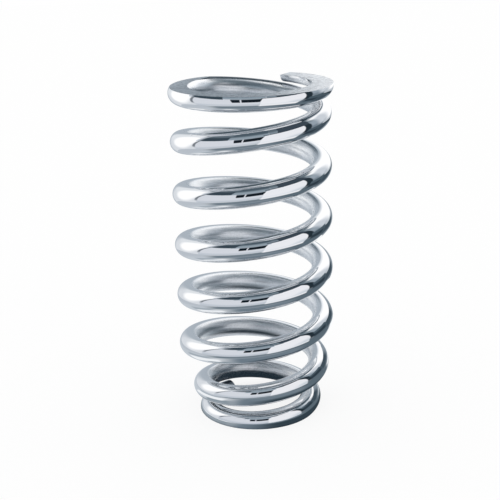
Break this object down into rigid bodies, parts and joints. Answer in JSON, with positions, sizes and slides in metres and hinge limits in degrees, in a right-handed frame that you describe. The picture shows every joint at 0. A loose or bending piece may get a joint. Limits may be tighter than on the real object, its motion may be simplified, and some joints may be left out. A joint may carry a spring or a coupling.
{
  "type": "helical spring",
  "caption": "Open-wound helical compression spring of round wire with a smaller lower end coil and both ends closed and ground flat.",
  "frame": {"origin": "on the coil's axis, in the plane of the lower ground face", "axes": "+Z along the coil's axis from the lower, smaller end coil to the upper one; the lower wire end lies 126 degrees from +X towards +Y"},
  "size_m": [0.0609, 0.0601, 0.1277],
  "materials": {
    "wire": "bright chrome on round wire, with the two end faces ground to a dull grey"
  },
  "bodies": {
    "root": {"coil_spring": "wire"}
  },
  "joints": []
}
